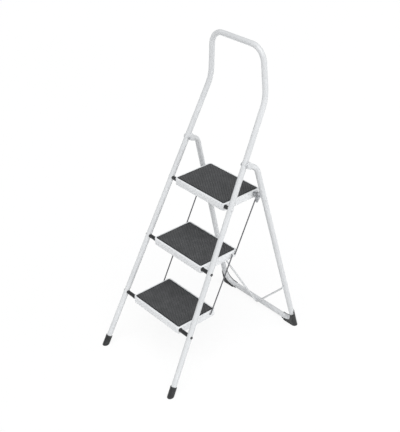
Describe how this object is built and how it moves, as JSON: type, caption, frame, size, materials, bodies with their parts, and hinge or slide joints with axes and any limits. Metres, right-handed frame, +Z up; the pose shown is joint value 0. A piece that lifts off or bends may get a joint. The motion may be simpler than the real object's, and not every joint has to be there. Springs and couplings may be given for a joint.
{
  "type": "step stool",
  "caption": "Folding steel step stool with flat ribbed treads, a tall bent-tube hand rail, a hinged rear frame, side link wires and plastic feet.",
  "frame": {"origin": "middle of the footprint on the floor", "axes": "+Z up, +Y the way a climber faces (from the front feet to the rear frame), +X to the climber's right"},
  "size_m": [0.4648, 0.7116, 1.272],
  "materials": {
    "white_powder_coat": "satin powder coat",
    "white_enamel": "smooth satin paint",
    "rubber_mat": "matt with a fine raised pattern",
    "black_plastic": "moulded satin",
    "dark_steel": "drawn dark wire",
    "zinc_steel": "zinc plated"
  },
  "bodies": {
    "front": {"front_frame": "white_powder_coat", "front_foot_left": "black_plastic", "front_foot_right": "black_plastic", "pivot_rivet_left": "zinc_steel", "pivot_rivet_right": "zinc_steel", "bottom_axle": "dark_steel", "middle_axle": "dark_steel", "top_axle": "white_powder_coat", "bottom_spacer_left": "black_plastic", "bottom_spacer_right": "black_plastic", "middle_spacer_left": "black_plastic", "middle_spacer_right": "black_plastic", "top_spacer_left": "black_plastic", "top_spacer_right": "black_plastic"},
    "rear": {"rear_frame": "white_powder_coat", "rear_brace": "white_powder_coat", "rear_shoe_left": "black_plastic", "rear_shoe_right": "black_plastic", "tread_hook_left": "zinc_steel", "tread_hook_right": "zinc_steel", "hook_rivet_left": "white_powder_coat", "hook_rivet_right": "white_powder_coat"},
    "top_tread": {"top_step": "white_enamel", "top_mat": "rubber_mat", "catch_stud_left": "zinc_steel", "catch_stud_right": "zinc_steel", "catch_plate_left": "zinc_steel", "catch_plate_right": "zinc_steel"},
    "middle_tread": {"middle_step": "white_enamel", "middle_mat": "rubber_mat"},
    "bottom_tread": {"bottom_step": "white_enamel", "bottom_mat": "rubber_mat"},
    "upper_link_left": {"upper_link_left": "dark_steel", "upper_link_left_top_clip": "zinc_steel", "upper_link_left_bottom_clip": "zinc_steel"},
    "upper_link_right": {"upper_link_right": "dark_steel", "upper_link_right_top_clip": "zinc_steel", "upper_link_right_bottom_clip": "zinc_steel"},
    "lower_link_left": {"lower_link_left": "dark_steel", "lower_link_left_top_clip": "zinc_steel", "lower_link_left_bottom_clip": "zinc_steel"},
    "lower_link_right": {"lower_link_right": "dark_steel", "lower_link_right_top_clip": "zinc_steel", "lower_link_right_bottom_clip": "zinc_steel"}
  },
  "joints": [
    {"name": "rear_frame_fold", "type": "hinge", "parent": "front", "child": "rear", "pos_m": [0, 0.10283, 0.84], "axis": [-1, 0, 0], "range_deg": [0, 40.5]},
    {"name": "top_tread_fold", "type": "hinge", "parent": "front", "child": "top_tread", "pos_m": [0, 0.02152, 0.686], "axis": [1, 0, 0], "range_deg": [0, 50]},
    {"name": "middle_tread_fold", "type": "hinge", "parent": "front", "child": "middle_tread", "pos_m": [0, -0.09992, 0.456], "axis": [1, 0, 0], "range_deg": [0, 50]},
    {"name": "bottom_tread_fold", "type": "hinge", "parent": "front", "child": "bottom_tread", "pos_m": [0, -0.22136, 0.226], "axis": [1, 0, 0], "range_deg": [0, 50]},
    {"name": "upper_link_left_swing", "type": "hinge", "parent": "top_tread", "child": "upper_link_left", "pos_m": [-0.1516, 0.18652, 0.682], "axis": [1, 0, 0], "range_deg": [-50, 0]},
    {"name": "upper_link_right_swing", "type": "hinge", "parent": "top_tread", "child": "upper_link_right", "pos_m": [0.1516, 0.18652, 0.682], "axis": [1, 0, 0], "range_deg": [-50, 0]},
    {"name": "lower_link_left_swing", "type": "hinge", "parent": "middle_tread", "child": "lower_link_left", "pos_m": [-0.1516, 0.05208, 0.455], "axis": [1, 0, 0], "range_deg": [-50, 0]},
    {"name": "lower_link_right_swing", "type": "hinge", "parent": "middle_tread", "child": "lower_link_right", "pos_m": [0.1516, 0.05208, 0.455], "axis": [1, 0, 0], "range_deg": [-50, 0]}
  ],
  "couplings": [
    {"joint": "middle_tread_fold", "follows": "top_tread_fold", "ratio": 1},
    {"joint": "bottom_tread_fold", "follows": "top_tread_fold", "ratio": 1},
    {"joint": "upper_link_left_swing", "follows": "top_tread_fold", "ratio": -1},
    {"joint": "upper_link_right_swing", "follows": "top_tread_fold", "ratio": -1},
    {"joint": "lower_link_left_swing", "follows": "top_tread_fold", "ratio": -1},
    {"joint": "lower_link_right_swing", "follows": "top_tread_fold", "ratio": -1}
  ]
}
